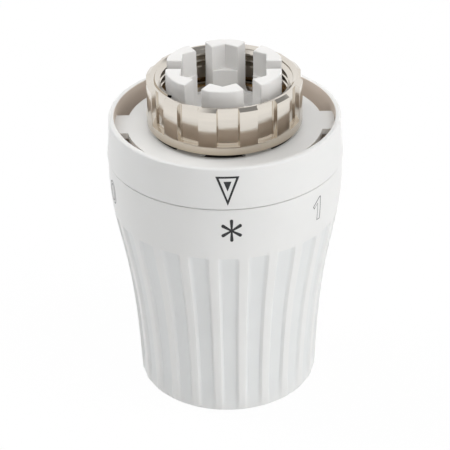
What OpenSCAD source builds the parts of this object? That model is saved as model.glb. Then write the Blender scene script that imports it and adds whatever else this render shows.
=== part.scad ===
// Thermostatic radiator head, standing on the closed end of its handwheel.
// Millimetres, +Z up along the axis, origin at the centre of the standing face.

/* [Handwheel] */
// Height of the handwheel from its standing face to its mouth
wheel_h = 58.1; // [55:0.1:64]
// Outer radius of the handwheel at its standing face
wheel_foot_r = 21.1; // [20.8:0.1:22.4]
// Outer radius of the handwheel at its mouth
wheel_mouth_r = 26.5; // [26.2:0.1:28]
// Wall thickness of the handwheel
wheel_wall = 2.2; // [1.8:0.1:2.6]
// Wall thickness of the handwheel at its mouth
mouth_wall = 2.5; // [2.3:0.1:3.2]
// Height of the smooth upright band under the mouth
wheel_band_h = 5.3; // [4:0.1:8]
// Depth below the mouth at which the wall flares most
wheel_flare_drop = 21.5; // [18:0.1:25]
// How far the wall leans out before the flare
wheel_lean = 1; // [0.4:0.1:1.6]
// How far the flare stays inside the mouth radius
wheel_tuck = 0.7; // [0.3:0.1:1.2]
// Rounding of the edge that the handwheel stands on
wheel_foot_round = 0.6; // [0.3:0.1:1]

/* [Flutes] */
// Number of flutes round the handwheel
flute_count = 24; // [12:1:30]
// Depth of a flute
flute_depth = 0.6; // [0.3:0.05:0.8]
// Width of a flute at its widest, as an angle
flute_angle = 10.8; // [6:0.1:11.4]
// Height of the plain stretch between the mouth and the flutes
flute_drop = 12.8; // [10:0.1:20]

/* [Base collar] */
// Running gap between the handwheel and the collar
seam_gap = 0.25; // [0.15:0.05:0.5]
// Height of the collar from the seam to its rim
collar_h = 9.5; // [9:0.1:12]
// How far the collar's foot stands out past the handwheel's mouth
collar_step = 0.15; // [0:0.05:0.4]
// How far the collar draws in from its foot to its rim
collar_taper = 0.65; // [0.3:0.05:1.2]
// How far the collar's side curves in between its foot and its rim
collar_waist = 0.1; // [0:0.02:0.3]
// Width of the collar's wall at the rim
collar_wall = 1.25; // [1:0.05:1.6]
// Rounding of the rim's outer edge
rim_round = 0.45; // [0.2:0.05:0.8]
// Thickness of the collar's floor
floor_t = 1.6; // [1.2:0.1:2]
// Depth of the skirt that hangs inside the handwheel's mouth
skirt_h = 8; // [7.6:0.1:10]
// Thickness of the skirt
skirt_t = 1.4; // [1.2:0.1:1.6]

/* [Cover disc] */
// Depth of the cover disc's face below the rim
disc_drop = 2.5; // [2:0.1:3.5]
// Thickness of the cover disc
disc_t = 1.4; // [1.1:0.1:1.6]
// Width of the gap between the cover disc and the collar's wall
disc_gap = 2.75; // [1:0.05:3.5]
// How far the cover disc reaches in under the nut
hole_tuck = 1.2; // [0.8:0.05:1.4]
// Width of each tab that reaches the collar's wall
tab_w = 8.6; // [6:0.1:12]
// Gap between the cover disc and the floor
disc_floor_gap = 2.3; // [2.2:0.1:3]
// Width of each narrow tongue that carries the nut
tongue_w = 6.3; // [4:0.1:8]
// Angle of the narrow tongues from the front and the back
tongue_angle = 28; // [20:0.5:40]
// Width of each broad tongue at the sides
side_tongue_w = 10; // [6:0.1:12]
// Turn of all the tongues about the axis, as an angle
tongue_turn = -2; // [-8:0.1:8]

/* [Claw adapter] */
// Height of the claws' tips above the nut
claw_proud = 2.55; // [1:0.05:4]
// Number of claws
claw_count = 6; // [6:1:6]
// Turn of the claws about the axis, as an angle
claw_turn = -2.6; // [-30:0.1:30]
// Width of the slots between claws
slot_w = 4; // [3:0.1:4.4]
// Distance across the flats of the hexagon socket
hex_af = 18.6; // [17:0.1:20]
// Depth of the hexagon socket below the tips
hex_depth = 6; // [4:0.1:8]
// Step from the hexagon socket's flats to the round bore under it
bore_step = 0.1; // [0.05:0.05:0.6]
// Depth of the bevels on the claws' outer corners
bevel_cut = 0.53; // [0.3:0.01:0.7]
// Height of the slots' lowest point above the nut's foot
slot_lift = 0.35; // [0.2:0.05:3]
// How far the snap noses stand out
nose_out = 0.7; // [0.4:0.05:0.9]
// Free gap between the snap noses and the nut's thread
nose_gap = 0.24; // [0.15:0.01:0.5]
// Height of a snap nose
nose_h = 1.3; // [1:0.1:1.8]
// Thickness of the adapter's flange
flange_t = 1.5; // [1.2:0.1:1.6]
// Thickness of the adapter's floor above its flange's underside
adapter_floor_t = 3.85; // [3:0.05:4.4]

/* [Union nut] */
// Major radius of the nut's thread
thread_major_r = 15; // [14.5:0.05:15.5]
// Wall of the nut outside its thread
nut_wall = 2.4; // [2:0.05:2.6]
// Height of the union nut
nut_h = 10.85; // [10:0.05:12]
// Number of grip grooves round the nut
nut_groove_count = 12; // [8:1:14]
// Width of a grip groove, as an angle
nut_groove_angle = 16.5; // [10:0.5:20]
// Depth of a grip groove
nut_groove_depth = 0.98; // [0.6:0.02:1.1]
// Turn of the grip grooves about the axis, as an angle
nut_turn = 1.6; // [-15:0.1:15]
// Height of the bevel round the nut's top
nut_bevel_h = 0.6; // [0.3:0.05:1]
// Height of the plain ring under the grooves
nut_ring_h = 2.25; // [1.5:0.05:4]
// Depth of the countersink over the nut's thread
nut_sink_h = 0.5; // [0.3:0.05:0.9]
// Pitch of the nut's thread
thread_pitch = 1.5; // [1:0.25:1.5]
// Number of thread turns
thread_turns = 3; // [2:1:3]
// Thickness of the lip that pulls on the claws
lip_t = 1.85; // [1.5:0.05:2.2]
// Free travel of the nut along the claws
nut_travel = 2.8; // [2:0.1:3]
// Thickness of the slip washer
washer_t = 0.4; // [0.3:0.05:0.6]

/* [Setting drive] */
// Turn from frost setting to closed, in degrees
turn_close = 75; // [60:1:80]
// Turn from frost setting to fully open, in degrees
turn_open = 240; // [180:1:240]
// Axial travel of the sensor for one turn of the handwheel
lead = 7.2; // [5:0.1:7.6]
// Wall thickness of the sensor carrier
carrier_wall = 1.2; // [1:0.05:1.5]
// Length of the sensor carrier
carrier_h = 23; // [20:0.5:24]
// Depth of the carrier's top below the collar's floor
carrier_drop = 14.4; // [13:0.1:16]
// Thickness of the carrier's top lip
carrier_lip_t = 1.4; // [1:0.1:1.8]
// Wall thickness of the guide sleeve
guide_wall = 1.4; // [1.2:0.05:1.6]
// Thickness of the guide sleeve's flange
guide_flange_t = 1.5; // [1.2:0.1:2]
// Width of the carrier's drive lugs
lug_w = 4.2; // [3:0.1:5]
// Height of the carrier's drive lugs
lug_h = 4; // [3:0.1:5]
// How far the lugs reach past the guide sleeve
lug_reach = 1.3; // [0.8:0.05:1.6]
// Wall thickness of the drive sleeve
sleeve_wall = 1.2; // [1:0.05:1.5]
// Room between the drive sleeve and the handwheel's wall
sleeve_room = 1.8; // [1.4:0.1:2.4]
// Length of each journal of the drive sleeve
journal_h = 2; // [1.5:0.1:3]
// Height of the seat that carries the drive sleeve
sleeve_seat_z = 18.5; // [17:0.1:19]

/* [Sensor] */
// Wall thickness of the sensor can
can_wall = 0.6; // [0.4:0.05:0.9]
// Thickness of the sensor's lid
lid_t = 1.75; // [1.4:0.05:2.2]
// Overtravel of the sensor against its spring
overtravel = 3; // [2:0.1:3]
// Wire thickness of the overtravel spring
over_wire = 1.2; // [0.9:0.05:1.5]
// Room on each side of the overtravel spring's wire
coil_gap = 0.45; // [0.3:0.05:0.6]
// Turns of the overtravel spring
over_turns = 6; // [4:1:7]
// Depth of the bellows' folds
bellows_fold = 1.7; // [1.2:0.05:1.8]
// Number of the bellows' folds
bellows_folds = 8; // [6:1:9]
// Thickness of the bellows' sheet
bellows_sheet = 0.3; // [0.25:0.05:0.4]
// Length of the bellows
bellows_h = 20.9; // [19:0.1:21.5]
// Length of the pinched filling stub under the can
stub_len = 2.2; // [1.5:0.1:2.6]

/* [Push rod] */
// Radius of the push rod
rod_r = 2.4; // [2:0.05:2.6]
// Wall thickness of the rod's hard tip
tip_wall = 0.6; // [0.5:0.05:1]
// Length of the rod's hard tip
tip_h = 6; // [5:0.1:7]
// Wire thickness of the return spring
return_wire = 0.7; // [0.5:0.05:0.8]
// Turns of the return spring
return_turns = 9; // [6:1:11]

/* [End cap] */
// Thickness of the end cap
cap_t = 1.5; // [1.2:0.1:2]
// Width of the ledge that the cap is pressed against
cap_ledge = 0.5; // [0.4:0.05:0.6]
// Number of vent slots in the cap
vent_count = 16; // [8:1:20]
// Width of a vent slot
vent_w = 1.8; // [1:0.1:2.2]

/* [Fits] */
// Radial clearance of running fits
run_fit = 0.08; // [0.05:0.01:0.1]
// Gap between faces that lie against each other
seat_gap = 0.03; // [0.02:0.01:0.05]
// Free clearance round parts that must not touch
free_gap = 0.3; // [0.2:0.05:0.35]

/* [Hidden] */

$fn = 96;
eps = 0.01;
through = 1;

// Mix of four values along a cubic curve, t from 0 to 1
function curve(a, b, c, d, t) =
    a * pow(1 - t, 3) + 3 * b * t * pow(1 - t, 2) + 3 * c * t * t * (1 - t) + d * pow(t, 3);

// Outer profile of the handwheel at t: radius and height
function wheel_at(t) = [
    curve(wheel_foot_r, wheel_foot_r + wheel_lean, wheel_mouth_r - wheel_tuck, wheel_mouth_r, t),
    curve(0, wheel_h - wheel_flare_drop, wheel_h - wheel_flare_drop, band_z, t)
];

// Outer radius of the handwheel at a height
function wheel_r(z) =
    lookup(z, [for (i = [0 : 40]) [wheel_at(i / 40)[1], wheel_at(i / 40)[0]]]);

// Heights, from the standing face upwards
seam_z = wheel_h + seam_gap;
collar_foot_r = wheel_mouth_r + collar_step;
collar_rim_r = collar_foot_r - collar_taper;
collar_wall_r = collar_rim_r - collar_wall;
rim_z = seam_z + collar_h;
disc_z = rim_z - disc_drop;
floor_z = disc_z - disc_t - disc_floor_gap;
floor_foot_z = floor_z - floor_t;
flute_top_z = wheel_h - flute_drop;
band_z = wheel_h - wheel_band_h;

// Mouth of the handwheel and skirt of the collar
mouth_bore_r = wheel_mouth_r - mouth_wall;
skirt_r = mouth_bore_r - run_fit;
skirt_z = floor_foot_z - skirt_h;
mouth_room = 0.6;
mouth_depth = wheel_h - skirt_z + mouth_room;
ring_t = 1.3;
ring_lift = 1.6;
ring_z = skirt_z + ring_lift;
ring_play = 0.1;
ring_in = 0.65;
ring_out = 0.55;
ring_gap_angle = 24;

// Rotation stops
stop_h = 1.6;
stop_z = skirt_z - stop_h;
stop_slack = 0.4;
stop_share = 0.45;
stop_room = (360 - turn_close - turn_open) / 2 - stop_slack;
wheel_stop_half = stop_room * stop_share;
stop_inset = 0.1;
stop_in = 1.1;
base_stop_half = stop_room - wheel_stop_half;
base_stop_angle = 90;
wheel_stop_angle = base_stop_angle - turn_close - stop_room - stop_slack;

// Setting travel, rest at the frost mark
travel_up = lead * turn_close / 360;
travel_down = lead * turn_open / 360;

// Drive sleeve, guide and carrier, from the handwheel's wall inwards
sleeve_r = wheel_r(sleeve_seat_z) - wheel_wall - sleeve_room;
sleeve_bore_r = sleeve_r - sleeve_wall;
lug_gap = 0.2;
lug_r = sleeve_bore_r - lug_gap;
guide_r = lug_r - lug_reach;
guide_bore_r = guide_r - guide_wall;
carrier_r = guide_bore_r - run_fit;
carrier_top_z = floor_foot_z - carrier_drop;
carrier_z = carrier_top_z - carrier_h;
carrier_bore_r = carrier_r - carrier_wall;
guide_top_z = floor_foot_z - seat_gap;
guide_lift = 0.3;
guide_z = sleeve_seat_z + guide_lift;
guide_flange_room = 2;
guide_flange_r = skirt_r - skirt_t - guide_flange_room;
lug_play = 0.1;
guide_slot_w = lug_w + 2 * lug_play;
lug_lift = 10.5;
lug_z = carrier_z + lug_lift;
guide_slot_room = 2;
guide_slot_top_z = lug_z + lug_h + travel_up + guide_slot_room;
lug_count = 3;
lug_root = 0.5;
journal_bore_r = guide_r + run_fit;
sleeve_z = sleeve_seat_z + seat_gap;
sleeve_drop = 3;
sleeve_top_z = skirt_z - stop_h - sleeve_drop;
sleeve_key_out = 0.8;
sleeve_key_w = 2;
sleeve_key_h = 8;
key_root = 0.3;
key_count = 3;
rib_w = 1.6;
rib_angle = 6.4;
rib_gap = 0.12;
rib_gap_r = sleeve_r + rib_gap;
rib_h = 19.1;
rib_top_z = sleeve_seat_z + rib_h;
wall_grip = 0.4;
seat_t = 1.5;
seat_in = 0.1;
seat_in_r = sleeve_bore_r - seat_in;

// Nut and claws
nut_rest_gap = 0.07;
pad_h = 0.8;
pad_z = disc_z + pad_h;
nut_z = pad_z + nut_rest_gap;
nut_top_z = nut_z + nut_h;
tip_z = nut_top_z + claw_proud;
slot_z = nut_z + slot_lift;
hex_z = tip_z - hex_depth;
lip_z = nut_z + lip_t;
washer_z = lip_z + seat_gap;
nose_z = washer_z + washer_t + nut_travel + seat_gap;
bevel_land = 0.02;
nut_bevel_w = nut_groove_depth - bevel_land;
thread_share = 0.541;
thread_depth = thread_share * thread_pitch;
thread_minor_r = thread_major_r - thread_depth;
nut_r = thread_major_r + nut_wall;
thread_h = thread_turns * thread_pitch;
claw_r = thread_minor_r - nose_gap - nose_out;
neck_step = 0.05;
neck_r = claw_r - neck_step;
lip_bore_r = claw_r + run_fit;
bevel_apothem = claw_r - bevel_cut;
neck_bore_r = hex_af / 2 - bore_step;
disc_r = collar_wall_r - disc_gap;
disc_hole_r = nut_r - hole_tuck;
flange_z = floor_z + seat_gap;
flange_top_z = flange_z + flange_t;
adapter_floor_z = flange_z + adapter_floor_t;
spigot_drop = 1.6;
spigot_wall = 2.4;
spigot_z = floor_foot_z - spigot_drop;
hub_wall = 1.6;
clip_t = 0.9;
clip_depth = 0.6;
clip_out = 1.6;
clip_gap_w = 6;
seal_t = 1.4;
seal_z = flange_top_z + seat_gap;
peg_angles = [30, 150, 270];
peg_r = 1.5;
peg_head_out = 0.5;
peg_head_r = peg_r + peg_head_out;
peg_head_t = 0.9;
peg_fit = 0.05;
peg_at = (guide_r + guide_flange_r) / 2;
flange_room = 0.2;
flange_r = peg_at - peg_head_r - flange_room;
seal_w = 2.7;
seal_r = neck_r + seal_w;
spigot_room = 1.3;
spigot_r = guide_bore_r - clip_out - spigot_room;
pin_angles = [0, 180];
pin_r = 1;
pin_head_out = 0.7;
pin_head_r = pin_r + pin_head_out;
pin_head_gap = 0.4;
pin_edge = 0.3;
pin_at = disc_r - pin_head_r - pin_edge;
tongue_gap = 0.2;
tongue_overlap = 0.3;
pad_w = 1.85;
tab_root = 0.5;
tongue_neck_gap = 0.4;
tongue_seal_gap = 0.1;

// Sensor
lid_top_z = carrier_top_z - carrier_lip_t - seat_gap;
lid_z = lid_top_z - lid_t;
lid_r = carrier_bore_r - free_gap;
can_r = carrier_bore_r - over_wire - 2 * coil_gap;
can_edge = 1;
can_bevel = 0.3;
can_inner_edge = 0.8;
can_lip_in = 0.9;
can_top_z = lid_z - seat_gap;
cap_z = 0.3;
cap_top_z = cap_z + cap_t;
bottom_clear = 0.8;
can_z = cap_top_z + bottom_clear + overtravel + travel_down + stub_len;
stub_r = 1.3;
seat_lift = 2.2;
clip_end_gap = 0.04;
seat_z = carrier_z + seat_lift;
clip_groove_depth = 0.5;
clip_groove_z = seat_z - clip_t - seat_gap * 2 - clip_end_gap;
over_seat_t = 1.2;
over_seat_z = seat_z + over_seat_t;
over_mean_r = (can_r + carrier_bore_r) / 2;
bellows_top_z = lid_z - seat_gap;
bellows_z = bellows_top_z - bellows_h;
coil_room = 1;
return_mean_r = rod_r + free_gap + coil_room;
foot_edge = 0.45;
foot_r = return_mean_r + return_wire / 2 + foot_edge;
foot_gap = 0.7;
bellows_in_r = foot_r + foot_gap;
bellows_r = bellows_in_r + bellows_fold;
plate_t = 1.2;
foot_t = 1;
foot_top_z = bellows_z + foot_t;
tip_r = rod_r + tip_wall;
tip_sink = 0.2;
tip_top_z = adapter_floor_z - tip_sink;
tip_edge = 0.5;
rod_tip_z = tip_top_z - tip_h;
tip_end_t = 1.5;
rod_top_z = tip_top_z - tip_end_t;
hub_grip = 2.5;
hub_z = tip_top_z - travel_down - overtravel - hub_grip;

// End cap
cap_rim_w = 1.1;
cap_r = wheel_foot_r - flute_depth - cap_rim_w;
cap_fit = 0.05;
cap_seat_r = cap_r + cap_fit;
cap_lip_t = 0.9;
cap_lip_h = 2;
vent_in_r = 7;
vent_edge = 1.2;

// Wire of a coil spring: ring centres climb a helix between two heights
function coil_ring(mean_r, wire, angle, z, sides) = [
    for (i = [0 : sides - 1])
        let (a = 360 * i / sides, r = mean_r + wire / 2 * cos(a))
        [r * cos(angle), r * sin(angle), z + wire / 2 * sin(a)]
];

// Closed sweep of rings, each with the same number of points
module sweep(rings, sides) {
    last = len(rings) - 1;
    skin = [
        for (i = [0 : last - 1], j = [0 : sides - 1])
            let (k = (j + 1) % sides)
            [i * sides + j, (i + 1) * sides + j, (i + 1) * sides + k, i * sides + k]
    ];
    first_cap = [for (j = [0 : sides - 1]) j];
    last_cap = [for (j = [sides - 1 : -1 : 0]) last * sides + j];
    polyhedron([for (ring = rings) each ring], concat(skin, [first_cap, last_cap]), convexity = 10);
}

module coil(mean_r, wire, low, high, turns, steps) {
    sides = 6;
    rise = high - low - wire;
    rings = [
        for (i = [0 : turns * steps])
            coil_ring(mean_r, wire, 360 * i / steps, low + wire / 2 + rise * i / (turns * steps), sides)
    ];
    sweep(rings, sides);
}

// Ring with a square section
module ring(inner, outer, low, high) {
    translate([0, 0, low])
    difference() {
        cylinder(r = outer, h = high - low);
        translate([0, 0, -through]) cylinder(r = inner, h = high - low + 2 * through);
    }
}

// Part of a ring, centred on an angle
module sector(inner, outer, low, high, middle, width) {
    rotate([0, 0, middle - width / 2])
    rotate_extrude(angle = width)
    translate([inner, low]) square([outer - inner, high - low]);
}

module handwheel_outline() {
    steps = 12;
    wall_top = wheel_h - mouth_depth;
    foot = [
        for (a = [-90 : 30 : 0])
            [wheel_foot_r - wheel_foot_round * (1 - cos(a)), wheel_foot_round * (1 + sin(a))]
    ];
    outside = [for (i = [1 : steps]) wheel_at(i / steps)];
    inside = [for (i = [steps : -1 : 1]) if (wheel_at(i / steps)[1] < wall_top)
        wheel_at(i / steps) - [wheel_wall, 0]];
    polygon(concat(
        foot, outside,
        [[wheel_mouth_r, wheel_h], [mouth_bore_r, wheel_h], [mouth_bore_r, wall_top]],
        inside,
        [[cap_seat_r - cap_ledge, cap_top_z + cap_lip_h], [cap_seat_r - cap_ledge, cap_top_z],
         [cap_seat_r, cap_top_z], [cap_seat_r, 0]]
    ));
}

module flute() {
    steps = 12;
    beyond = 3;
    path = [for (i = [0 : steps]) wheel_at(i / steps)];
    floor_line = [for (p = path) if (p[1] < flute_top_z) [p[0] - flute_depth, p[1]]];
    top_t = [for (i = [0 : 200]) if (wheel_at(i / 200)[1] < flute_top_z) i / 200];
    top_r = wheel_at(top_t[len(top_t) - 1])[0] - flute_depth;
    rotate([0, 0, -90 - flute_angle / 2])
    rotate_extrude(angle = flute_angle)
    polygon(concat(
        [[wheel_foot_r - flute_depth, -through]], floor_line,
        [[top_r, flute_top_z], [wheel_mouth_r + beyond, flute_top_z], [wheel_mouth_r + beyond, -through]]
    ));
}

module handwheel_rib() {
    steps = 5;
    heights = [for (i = [0 : steps]) sleeve_seat_z + (rib_top_z - sleeve_seat_z) * i / steps];
    rotate([90, 0, 0])
    translate([0, 0, -rib_w / 2])
    linear_extrude(rib_w)
    polygon(concat(
        [[rib_gap_r, rib_top_z], [rib_gap_r, sleeve_seat_z - eps]],
        [for (z = heights) [wheel_r(z) - wheel_wall + wall_grip, z - (z == sleeve_seat_z ? eps : 0)]]
    ));
}

module handwheel() {
    seat_out_r = wheel_r(sleeve_seat_z - seat_t) - wheel_wall + wall_grip;
    color("whitesmoke") {
        difference() {
            rotate_extrude() handwheel_outline();
            for (i = [0 : flute_count - 1]) rotate([0, 0, 360 * i / flute_count]) flute();
            translate([0, 0, ring_z - seat_gap])
                cylinder(r = mouth_bore_r + ring_out + seat_gap, h = ring_t + 2 * seat_gap);
        }
        ring(seat_in_r, seat_out_r, sleeve_seat_z - seat_t, sleeve_seat_z);
        for (i = [0 : key_count - 1], side = [-1, 1])
            rotate([0, 0, 360 * i / key_count + side * rib_angle]) handwheel_rib();
        sector(mouth_bore_r - stop_in, mouth_bore_r + wall_grip, stop_z + stop_inset, skirt_z - stop_inset,
            wheel_stop_angle, 2 * wheel_stop_half);
    }
}

module end_cap() {
    lip_r = cap_seat_r - cap_ledge - run_fit;
    color("gainsboro")
    difference() {
        union() {
            translate([0, 0, cap_z]) cylinder(r = cap_r, h = cap_t - seat_gap);
            ring(lip_r - cap_lip_t, lip_r, cap_z + eps, cap_top_z + cap_lip_h);
        }
        for (i = [0 : vent_count - 1]) rotate([0, 0, 360 * i / vent_count])
            translate([vent_in_r, -vent_w / 2, -through])
            cube([lip_r - cap_lip_t - vent_edge - vent_in_r, vent_w, cap_top_z + 2 * through]);
    }
}

module drive_sleeve() {
    color("lightgray") {
        difference() {
            translate([0, 0, sleeve_z]) cylinder(r = sleeve_r, h = sleeve_top_z - sleeve_z);
            translate([0, 0, sleeve_z - through])
                cylinder(r = journal_bore_r, h = sleeve_top_z - sleeve_z + 2 * through);
            translate([0, 0, sleeve_z + journal_h])
                cylinder(r = sleeve_bore_r, h = sleeve_top_z - sleeve_z - 2 * journal_h);
        }
        for (i = [0 : key_count - 1]) rotate([0, 0, 360 * i / key_count])
            translate([sleeve_r - key_root, -sleeve_key_w / 2, sleeve_z])
            cube([sleeve_key_out + key_root, sleeve_key_w, sleeve_key_h]);
    }
}

module snap_ring() {
    color("silver")
    difference() {
        ring(skirt_r - ring_in + seat_gap * 2, mouth_bore_r + ring_out, ring_z, ring_z + ring_t);
        sector(skirt_r - ring_in - through, mouth_bore_r + ring_out + through,
            ring_z - through, ring_z + ring_t + through, 180, ring_gap_angle);
    }
}

module base_collar() {
    edge = 0.3;
    side = [
        for (t = [0.25 : 0.25 : 0.75])
            [collar_foot_r - collar_taper * t - collar_waist * 4 * t * (1 - t),
             seam_z + edge + (collar_h - edge - rim_round) * t]
    ];
    post_r = 1.5;
    post_at = (disc_r + disc_hole_r) / 2;
    rim = [
        for (a = [0 : 15 : 90])
            [collar_rim_r - rim_round * (1 - cos(a)), rim_z - rim_round * (1 - sin(a))]
    ];
    color("whitesmoke")
    difference() {
        union() {
            rotate_extrude() polygon(concat(
                [[skirt_r - skirt_t, skirt_z], [skirt_r, skirt_z], [skirt_r, seam_z],
                 [collar_foot_r - edge, seam_z], [collar_foot_r, seam_z + edge]],
                side, rim,
                [[collar_wall_r, rim_z], [collar_wall_r, floor_z],
                 [spigot_r + seat_gap, floor_z], [spigot_r + seat_gap, floor_foot_z],
                 [skirt_r - skirt_t, floor_foot_z]]
            ));
            for (a = [45 : 90 : 315]) rotate([0, 0, a])
                translate([post_at, 0, floor_z - eps])
                cylinder(r = post_r, h = disc_z - disc_t - seat_gap - floor_z + eps);
            sector(skirt_r - skirt_t + stop_inset, skirt_r - stop_inset, stop_z, skirt_z + stop_inset,
                base_stop_angle, 2 * base_stop_half);
        }
        ring(skirt_r - ring_in, skirt_r + through, ring_z - ring_play, ring_z + ring_t + ring_play);
        for (a = peg_angles) rotate([0, 0, a])
            translate([peg_at, 0, floor_foot_z - through])
            cylinder(r = peg_r + peg_fit, h = floor_t + 2 * through);
        for (a = pin_angles) rotate([0, 0, a])
            translate([pin_at, 0, floor_foot_z - through])
            cylinder(r = pin_r + peg_fit, h = floor_t + 2 * through);
    }
}

module guide_sleeve() {
    color("gainsboro")
    difference() {
        union() {
            translate([0, 0, guide_z]) cylinder(r = guide_r, h = guide_top_z - guide_z);
            translate([0, 0, guide_top_z - guide_flange_t])
                cylinder(r = guide_flange_r, h = guide_flange_t);
            for (a = peg_angles) rotate([0, 0, a]) translate([peg_at, 0, guide_top_z - eps]) {
                cylinder(r = peg_r, h = floor_t + 2 * seat_gap + peg_head_t / 2);
                translate([0, 0, floor_t + 2 * seat_gap + eps]) cylinder(r = peg_head_r, h = peg_head_t);
            }
        }
        translate([0, 0, guide_z - through])
            cylinder(r = guide_bore_r, h = guide_top_z - guide_z + 2 * through);
        for (i = [0 : lug_count - 1]) rotate([0, 0, 360 * i / lug_count])
            translate([guide_bore_r - through, -guide_slot_w / 2, guide_z - through])
            cube([guide_wall + 2 * through, guide_slot_w, guide_slot_top_z - guide_z + through]);
    }
}

module cover_disc() {
    reach_gap = 0.05;
    reach_r = collar_wall_r - reach_gap;
    tongue_root_r = seal_r + tongue_gap;
    tongue_tip_r = neck_r + tongue_neck_gap;
    pad_r = tongue_tip_r + pad_w;
    tongue_z = seal_z + seal_t + tongue_seal_gap;
    tongues = [
        for (side = [-90, 90], lean = [-1, 1]) [side + lean * tongue_angle + tongue_turn, tongue_w],
        for (side = [0, 180]) [side + tongue_turn, side_tongue_w]
    ];
    color("whitesmoke") {
        ring(disc_hole_r, disc_r, disc_z - disc_t, disc_z);
        intersection() {
            ring(disc_r - tab_root, reach_r, disc_z - disc_t, disc_z);
            translate([-reach_r - through, -tab_w / 2, disc_z - disc_t - through])
                cube([2 * (reach_r + through), tab_w, disc_t + 2 * through]);
        }
        for (t = tongues) rotate([0, 0, t[0]]) {
            intersection() {
                union() {
                    ring(tongue_root_r, disc_hole_r + tongue_overlap, disc_z - disc_t, disc_z);
                    ring(tongue_tip_r, tongue_root_r + tongue_overlap, tongue_z, disc_z);
                    ring(tongue_tip_r, pad_r, tongue_z, pad_z);
                }
                translate([0, -t[1] / 2, disc_z - disc_t - through])
                    cube([nut_r, t[1], pad_z - disc_z + disc_t + 2 * through]);
            }
        }
    }
}

module limit_pins() {
    color("gainsboro")
    for (a = pin_angles) rotate([0, 0, a]) translate([pin_at, 0, 0]) {
        translate([0, 0, floor_foot_z]) cylinder(r = pin_r, h = floor_t + seat_gap + eps);
        translate([0, 0, floor_z + seat_gap]) cylinder(r = pin_head_r, h = disc_floor_gap - pin_head_gap);
    }
}

module claw_crown() {
    crown_h = tip_z - slot_z;
    difference() {
        intersection() {
            translate([0, 0, slot_z]) cylinder(r = claw_r, h = crown_h);
            translate([0, 0, slot_z])
                cylinder(r = bevel_apothem / cos(30), h = crown_h, $fn = 6);
        }
        translate([0, 0, hex_z])
            cylinder(r = hex_af / 2 / cos(30), h = tip_z, $fn = 6);
    }
}

module claw_adapter() {
    slot_r = slot_w / 2;
    nose_half = 12;
    color("white")
    rotate([0, 0, claw_turn])
    difference() {
        union() {
            translate([0, 0, flange_z]) cylinder(r = flange_r, h = flange_t);
            translate([0, 0, spigot_z]) cylinder(r = spigot_r, h = flange_z - spigot_z + eps);
            translate([0, 0, hub_z]) cylinder(r = tip_r + run_fit + hub_wall, h = flange_z - hub_z);
            translate([0, 0, flange_top_z - eps]) cylinder(r = neck_r, h = slot_z - flange_top_z + 2 * eps);
            rotate([0, 0, 30]) claw_crown();
            for (i = [0 : claw_count - 1]) rotate([0, 0, 360 * i / claw_count + 30])
                claw_nose(nose_half);
        }
        for (i = [0 : claw_count - 1]) rotate([0, 0, 360 * i / claw_count]) {
            translate([neck_bore_r / 2, -slot_r, slot_z + slot_r]) cube([claw_r, slot_w, tip_z]);
            translate([neck_bore_r / 2, 0, slot_z + slot_r]) rotate([0, 90, 0])
                cylinder(r = slot_r, h = claw_r);
        }
        translate([0, 0, adapter_floor_z]) cylinder(r = neck_bore_r, h = tip_z);
        translate([0, 0, hub_z - through]) cylinder(r = tip_r + run_fit, h = tip_z);
        ring(tip_r + run_fit + hub_wall, spigot_r - spigot_wall, spigot_z - through, flange_z);
        ring(spigot_r - clip_depth, spigot_r + through,
            floor_foot_z - clip_t - 3 * seat_gap, floor_foot_z - seat_gap);
    }
}

module claw_nose(half) {
    root_in = 0.5;
    root_r = claw_r - root_in;
    back_rise = 0.5;
    rotate([0, 0, -half])
    rotate_extrude(angle = 2 * half)
    polygon([
        [root_r, nose_z], [claw_r + nose_out, nose_z],
        [claw_r + nose_out, nose_z + nose_h / 2], [root_r, nose_z + nose_h + back_rise]
    ]);
}

module adapter_clip() {
    color("dimgray")
    difference() {
        ring(spigot_r - clip_depth + seat_gap, spigot_r + clip_out,
            floor_foot_z - clip_t - 2 * seat_gap, floor_foot_z - 2 * seat_gap);
        translate([0, -clip_gap_w / 2, floor_foot_z - clip_t - through])
            cube([spigot_r + clip_out + through, clip_gap_w, clip_t + 2 * through]);
    }
}

module neck_seal() {
    color([0.12, 0.1, 0.09]) ring(neck_r + seat_gap, seal_r, seal_z, seal_z + seal_t);
}

module slip_washer() {
    color("darkgoldenrod") ring(lip_bore_r, thread_minor_r - free_gap / 2, washer_z, washer_z + washer_t);
}

module thread_cut(top) {
    crest = thread_pitch / 4;
    root = thread_pitch / 8;
    flank = (thread_pitch - crest - root) / 2;
    foot = top - thread_h;
    teeth = [
        for (i = [0 : thread_turns - 1])
            let (z = foot + i * thread_pitch)
            each [
                [thread_minor_r, z + crest / 2],
                [thread_major_r, z + crest / 2 + flank],
                [thread_major_r, z + crest / 2 + flank + root],
                [thread_minor_r, z + thread_pitch - crest / 2]
            ]
    ];
    rotate_extrude() polygon(concat(
        [[0, foot - eps], [thread_minor_r, foot - eps]],
        teeth,
        [[thread_minor_r, top + eps], [0, top + eps]]
    ));
}

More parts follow.
